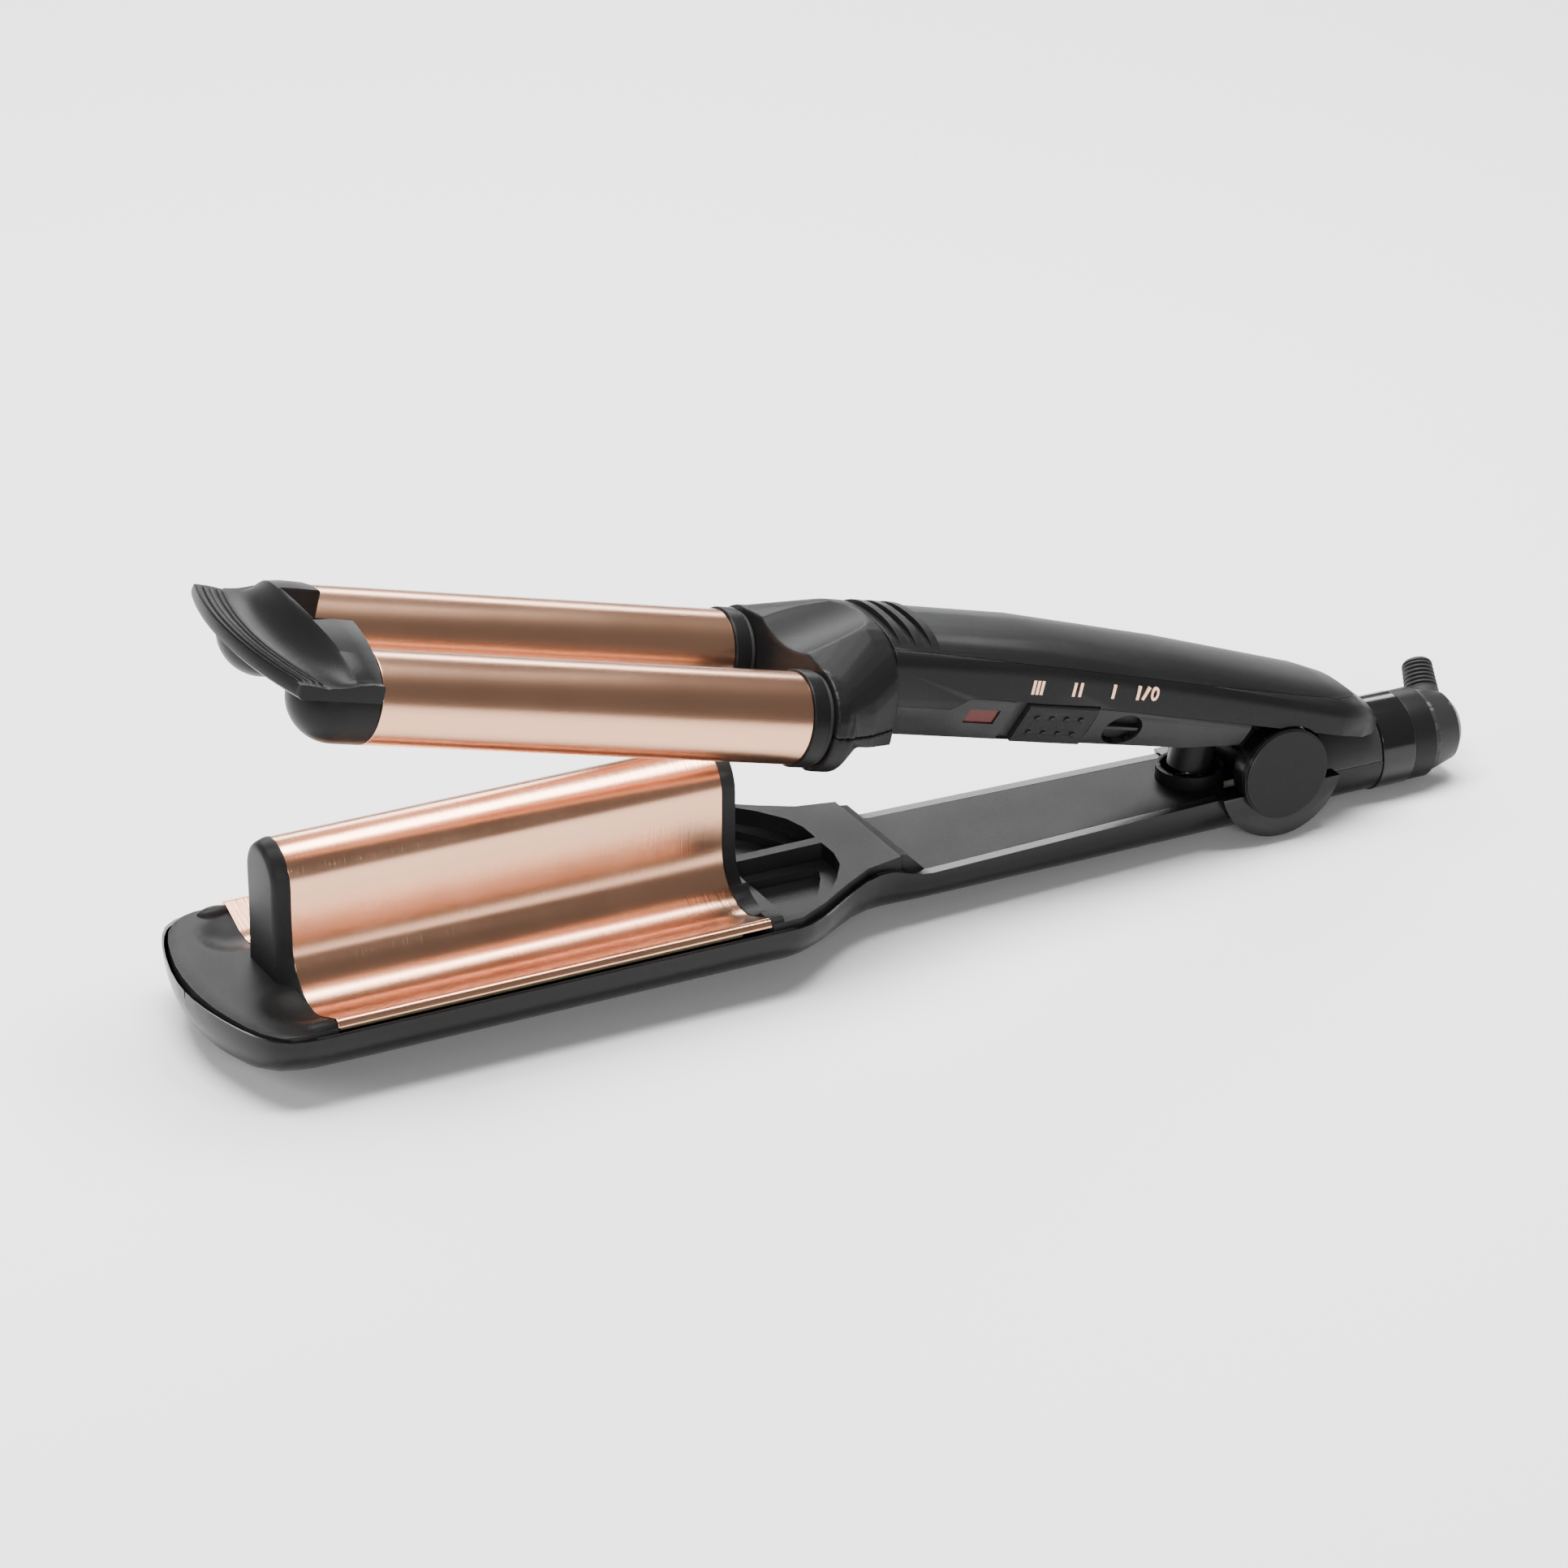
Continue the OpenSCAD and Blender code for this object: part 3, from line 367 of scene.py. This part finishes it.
def bowl(x, inset):
    """Cross-section of the lower shell at x, from rim to rim, inset from its outside."""
    w, low, top = between(HALF_W, x), between(BOTTOM, x), between(TOP, x)
    w, low = max(w - inset, 0.3), min(low + 1.2 * inset, top - 0.6)
    pts = []
    for k in range(41):
        a = math.pi + math.pi * k / 40
        c, s = math.cos(a), math.sin(a)
        pts.append((x, w * math.copysign(abs(c) ** (2 / 2.1), c),
                    top + (top - low) * math.copysign(abs(s) ** (2 / 2.1), s)))
    return pts


verts, faces = [], []
xs = ([-79.2, -79.1, -79.0, -78.8, -78.5, -78.2] + steps(-77.6, -58, 22) + steps(-54, 60, 12)
      + steps(62, 108, 30) + steps(112, 200.9, 10))
loft([bowl(x, 0) + list(reversed(bowl(x, 1.3 if x < 99 else 2.8))) for x in xs], verts, faces)
for side in (-1, 1):
    outline = [(207 + 17.5 * math.cos(a), 18.7 + 17.5 * math.sin(a))
               for a in steps(math.radians(-165), math.radians(-15), 40)]
    outline += [(215, 14.2), (207, 14.2), (198, 14.2)]
    disc = [(207 + 11.8 * math.cos(a), 18.7 + 11.8 * math.sin(a))
            for a in steps(0, 2 * math.pi, 65)[:-1]]
    for ring, outer in ((outline, 17.2), (disc, 17.15)):
        loft([[(x, side * y, z) for x, z in ring] for y in (13.0, 13.3, outer - 0.3, outer)],
             verts, faces)
floor_arc = steps(math.radians(-122), math.radians(-22), 26)
loft([[(207 + r * math.cos(a), y, 18.7 + r * math.sin(a)) for r, arc in
       ((17.5, floor_arc), (15.6, floor_arc[::-1])) for a in arc] for y in (-13.2, 13.2)],
     verts, faces)
half = steps(math.pi, 2 * math.pi, 33)
loft([[(x, r * math.cos(a), 12 + r * math.sin(a)) for r, arc in ((11.5, half), (9.6, half[::-1]))
       for a in arc] for x in (218.6, 221, 239.9, 240.25)], verts, faces)
piece("lower_shell_skin", verts, faces, "lower_arm", ["lower_shell"], SHELL,
      bevel=0.3)

# nose deck: a soft apron dished under the domes, and the round-topped end of the ridge


def dish(x, y):
    """Height of the deck, with a seat for each dome."""
    reach = 11.7 ** 2 - (abs(y) - BARREL_Y) ** 2 - min(0.0, x + 58.8) ** 2
    seat = 27.7 - math.sqrt(reach) if reach > 0 else 27.7
    # soft minimum of the deck and the seat
    return -0.9 * math.log(math.exp(-18.5 / 0.9) + math.exp(-seat / 0.9))


def deck_front(y):
    """Front edge of the deck along X, just inside the shell's rim."""
    return between([(0, -77.5), (6, -77.3), (12, -76.6), (18, -75.3), (24, -73.6), (29, -71.5),
                    (32.8, -68.6), (34.4, -66.4), (35.2, -63.5)], abs(y))


verts, faces, loops = [], [], []
for i in range(97):
    y = -35.1 + 70.2 * i / 96
    row = []
    for j in range(41):
        x = deck_front(y) + (-55.6 - deck_front(y)) * j / 40
        lip = 0.5 * max(0.0, 1 - 6 * j / 40) ** 2
        row.append((x, y, min(18.75, dish(x, y)) - lip))
    row += [(-55.6, y, 15.2), (deck_front(y), y, 15.2)]
    loops.append(row)
loft(loops, verts, faces)
loops = []
for x, inset, flare in ((-59.6, 2.6, 0.04), (-59.5, 1.7, 0.07), (-59.1, 1.1, 0.12),
                        (-58.5, 0.7, 0.2), (-57.8, 0.45, 0.32), (-57.0, 0.2, 0.5),
                        (-56.3, 0.05, 0.75), (-55.9, 0, 1), (-55.56, 0, 1)):
    right = []
    for k in range(13):
        a = math.pi / 2 * (1 - k / 12)
        right.append(((9.05 - inset) * math.cos(a), 42.3 + (9.05 - inset) * math.sin(a)))
    for k in range(1, 17):
        z = 42.3 - (42.3 - 17.2) * k / 16
        foot = BARREL_Y - math.sqrt(max(0, 11.55 ** 2 - min(0, z - 27.7) ** 2))
        right.append((9.05 - inset - 0.2 * (1 - abs(z - 34) / 9 if abs(z - 34) < 9 else 0)
                      + max(0.0, foot - 8.85) * flare, z))
    loops.append([(x, y, z) for y, z in right] + [(x, -y, z) for y, z in reversed(right[1:])])
loft(loops, verts, faces)
for side in (-1, 1):
    loops = []
    for i in range(9):
        a = math.pi * (i + 0.5) / 9
        spread = math.sin(a)
        x = -58.4 - 4.6 * math.cos(a)
        loops.append([(x, side * (32.6 + 2.2 * spread * math.cos(b)),
                       18.0 + 2.0 * spread * math.sin(b)) for b in steps(0, 2 * math.pi, 25)[:-1]])
    loft(loops, verts, faces)
piece("nose_skin", verts, faces, "lower_arm", ["nose_cover"], DECK, smooth=45)

# yoke: its two halves smoothed into one moulded form each


def smoothed(name, node, voxel, rounds, finish_of):
    """A CAD node's mesh, remeshed finely and relaxed, so that its hull facets become soft."""
    obj = bpy.data.objects.new(name, frame["nodes"][node].data.copy())
    bpy.context.collection.objects.link(obj)
    mesh_step = obj.modifiers.new("voxels", "REMESH")
    mesh_step.mode = "VOXEL"
    mesh_step.voxel_size = voxel * MM
    mesh_step.adaptivity = 0
    relax = obj.modifiers.new("relax", "SMOOTH")
    relax.factor = 0.5
    relax.iterations = rounds
    bpy.context.view_layer.update()
    made = bpy.data.meshes.new_from_object(obj.evaluated_get(bpy.context.evaluated_depsgraph_get()))
    obj.modifiers.clear()
    obj.data = made
    made.materials.clear()
    made.materials.append(finish_of)
    made.shade_smooth()
    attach(obj, "upper_arm")
    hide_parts(node)
    return obj


smoothed("yoke_top_skin", "yoke_top", 0.4, 4, SATIN)
smoothed("yoke_bottom_skin", "yoke_bottom", 0.45, 9, SATIN)

# main spring: three turns of round wire

verts, faces, rings = [], [], []
for i in range(145):
    a = 2 * math.pi * 3 * i / 144
    z = 9.95 + 3.7 * i / 144
    rings.append([(190.2 + (4.2 + 0.45 * math.cos(b)) * math.cos(a),
                   (4.2 + 0.45 * math.cos(b)) * math.sin(a),
                   z + 0.45 * math.sin(b)) for b in steps(0, 2 * math.pi, 13)[:-1]])
loft(rings, verts, faces)
coil = piece("spring_coil", verts, faces, "lower_arm", ["main_spring"], STEEL)
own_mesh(coil)

# strain relief: ribs broken by a smooth spine on the outer side

ROLL, ELBOW = math.radians(51), math.radians(75)
exit_at = Vector((261, 0, 12))
turn = Matrix.Rotation(-ROLL, 3, "X") @ Matrix.Rotation(math.pi / 2 - ELBOW, 3, "Y")
verts, faces, loops = [], [], []
for i in range(150):
    s = 4.0 + 15.0 * i / 149
    base = between([(4, 4.4), (9.6, 4.35), (10.0, 3.7), (18.2, 3.3), (18.7, 3.1), (19, 2.9)], s)
    full = between([(4, 4.4), (10, 4.4), (18.1, 3.95), (18.7, 3.6), (19, 3.2)], s)
    rib = 1.0 if s < 10.2 or s > 17.9 else 0.5 + 0.5 * math.tanh(
        3.5 * math.sin(2 * math.pi * (s - 10.2) / 1.15))
    loop = []
    for k in range(64):
        a = 2 * math.pi * k / 64
        spine = max(0.0, min(1.0, 4.2 * (abs(math.cos(a)) - 0.82)))
        r = base + (full - base) * max(rib, spine)
        loop.append(exit_at + turn @ Vector((r * math.cos(a), r * math.sin(a), s)))
    loops.append(loop)
for s, r in ((18.9, 2.75), (10.0, 2.7)):
    loops.append([exit_at + turn @ Vector((r * math.cos(2 * math.pi * k / 64),
                                           r * math.sin(2 * math.pi * k / 64), s))
                  for k in range(64)])
loft(loops, verts, faces)
piece("strain_relief_skin", verts, faces, "swivel", ["strain_relief"], SOFT,
      smooth=50)

# ---- studio ----

world = bpy.data.worlds.new("studio")
bpy.context.scene.world = world
world.use_nodes = True
world.node_tree.nodes["Background"].inputs["Color"].default_value = (1.0, 1.0, 1.0, 1)
world.node_tree.nodes["Background"].inputs["Strength"].default_value = 0.2

bpy.ops.mesh.primitive_grid_add(x_subdivisions=4, y_subdivisions=4, size=9)
floor = bpy.context.object
floor.name = "floor"
floor.data.materials.append(material("floor_paint", (0.92, 0.92, 0.92), (0.94, 0.94, 0.94), 0.7,
                                     grain=60, depth=0.02, patch=3, swing=0.02))


def softbox(name, spot, aim, width, height, power):
    """A rectangular studio light at a spot, turned to its aim; lengths in metres."""
    light = bpy.data.lights.new(name, "AREA")
    light.shape = "RECTANGLE"
    light.size = width
    light.size_y = height
    light.energy = power
    obj = bpy.data.objects.new(name, light)
    bpy.context.collection.objects.link(obj)
    obj.location = spot
    obj.rotation_euler = (Vector(aim) - Vector(spot)).to_track_quat("-Z", "Y").to_euler()


softbox("top_box", (0.1, 0.15, 1.3), (0.05, 0, 0), 1.2, 0.6, 58)
softbox("front_box", (-0.5, -1.6, 0.75), (0.05, 0, 0.03), 1.1, 0.22, 14)
softbox("side_box", (-1.4, 0.2, 0.7), (0.0, 0, 0.03), 0.4, 0.9, 10)
softbox("back_box", (0.5, 1.4, 0.8), (0.1, 0, 0.02), 1.4, 0.35, 20)

camera = bpy.data.objects.new("camera", bpy.data.cameras.new("camera"))
bpy.context.collection.objects.link(camera)
camera.location = (-0.5234, -1.1682, 0.6661)
aim = Vector((0.0766, 0, 0.0365)) - camera.location
camera.rotation_euler = aim.to_track_quat("-Z", "Y").to_euler()
camera.data.lens = 139.09
camera.data.sensor_width = 36
bpy.context.scene.camera = camera
